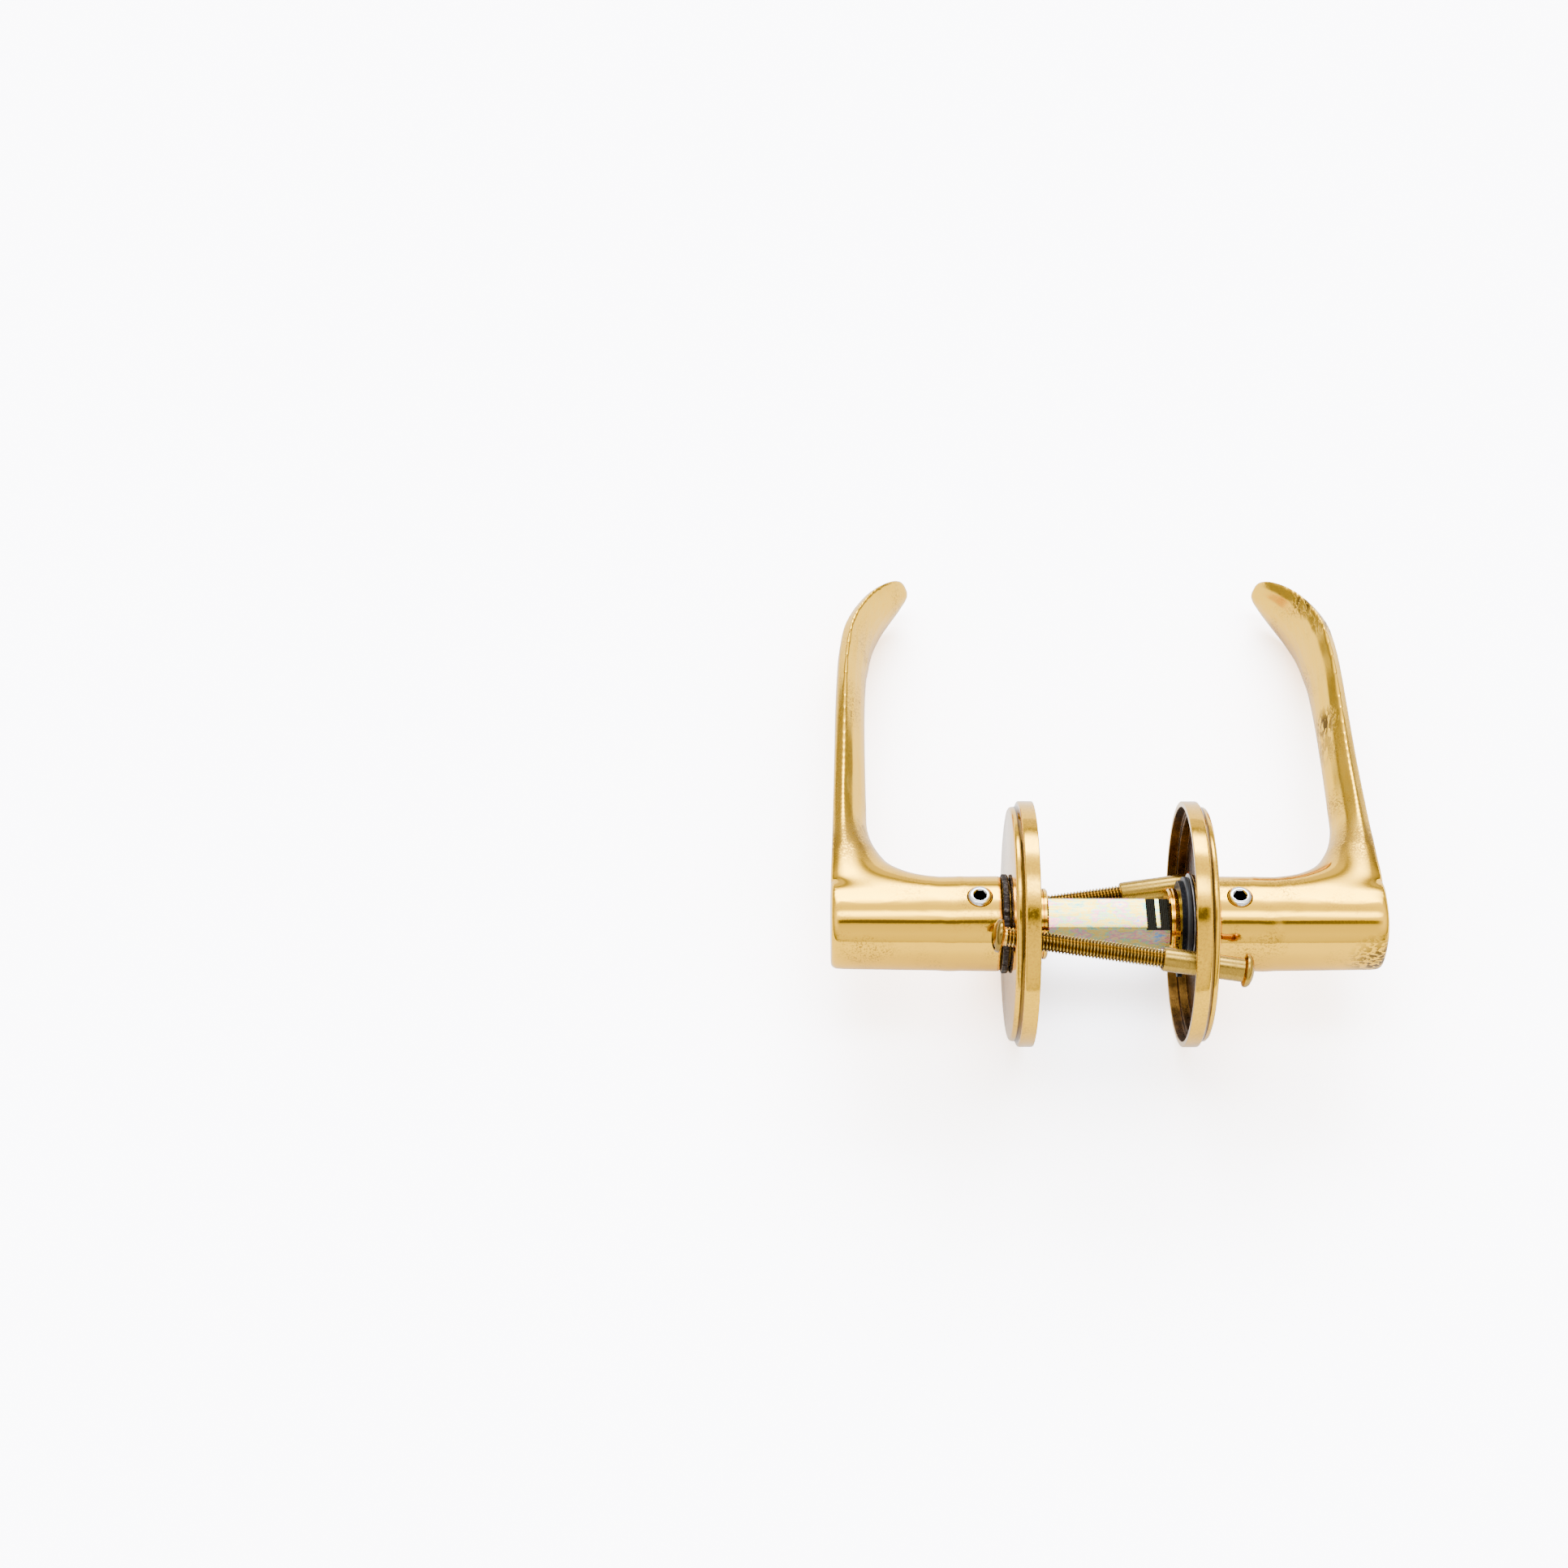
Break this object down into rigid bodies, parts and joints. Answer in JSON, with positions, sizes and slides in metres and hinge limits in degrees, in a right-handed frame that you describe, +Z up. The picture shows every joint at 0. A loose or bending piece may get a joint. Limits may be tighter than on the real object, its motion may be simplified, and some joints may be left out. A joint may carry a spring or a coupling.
{
  "type": "lever handle set",
  "caption": "Pair of brass lever door handles on round roses, joined by a square spindle and two slotted through-bolts, each lever turning in its rose.",
  "frame": {"origin": "on the spindle's axis, midway between the two roses", "axes": "+X along the spindle towards its notched end, +Y the way the grips point, +Z up, with the set lying on the rims of its roses and the tips of its grips"},
  "size_m": [0.1166, 0.1207, 0.052],
  "materials": {
    "polished_brass": "polished",
    "cast_brass": "cast and polished",
    "turned_brass": "turned",
    "sleeve_brass": "satin",
    "bolt_brass": "rolled thread",
    "zinc_plate": "zinc plated, yellow passivated",
    "bright_nickel": "bright",
    "dark_steel": "darkened",
    "spring_steel": "plain",
    "black_steel": "phosphated",
    "black_nylon": "moulded"
  },
  "bodies": {
    "roses": {"rose_left": "polished_brass", "rose_right": "polished_brass", "rose_bush_left": "turned_brass", "rose_bush_right": "turned_brass"},
    "levers": {"spindle": "zinc_plate", "lever_left": "cast_brass", "lever_right": "cast_brass", "grub_screw_left": "bright_nickel", "grub_screw_right": "bright_nickel", "outer_washer_left": "dark_steel", "outer_washer_right": "dark_steel", "steel_washer_left": "spring_steel", "steel_washer_right": "spring_steel", "black_washer_left": "black_nylon", "black_washer_right": "black_nylon", "circlip_left": "black_steel", "circlip_right": "black_steel"},
    "nut_front": {"sleeve_nut_front": "sleeve_brass"},
    "screw_front": {"bolt_screw_front": "bolt_brass"},
    "nut_rear": {"sleeve_nut_rear": "sleeve_brass"},
    "screw_rear": {"bolt_screw_rear": "bolt_brass"}
  },
  "joints": [
    {"name": "lever_turn", "type": "hinge", "parent": "roses", "child": "levers", "pos_m": [0, 0, 0], "axis": [1, 0, 0], "range_deg": [-33.75, 56.25]},
    {"name": "screw_advance_front", "type": "slide", "parent": "roses", "child": "screw_front", "axis": [0.9893, -0.1065, -0.0993], "range_m": [-0.0014, 0.0014]},
    {"name": "nut_turn_front", "type": "hinge", "parent": "roses", "child": "nut_front", "pos_m": [0.0202, -0.01497, 0.0117], "axis": [0.9893, -0.1065, -0.0993], "range_deg": [-720.5, 720.5]},
    {"name": "screw_advance_rear", "type": "slide", "parent": "roses", "child": "screw_rear", "axis": [0.9893, 0.1065, 0.0993], "range_m": [-0.0014, 0]},
    {"name": "nut_turn_rear", "type": "hinge", "parent": "roses", "child": "nut_rear", "pos_m": [0.0202, 0.01497, -0.0117], "axis": [0.9893, 0.1065, 0.0993], "range_deg": [-0.5, 720.5]}
  ],
  "couplings": [
    {"joint": "nut_turn_front", "follows": "screw_advance_front", "rad_per_m": -8976},
    {"joint": "nut_turn_rear", "follows": "screw_advance_rear", "rad_per_m": -8976}
  ]
}
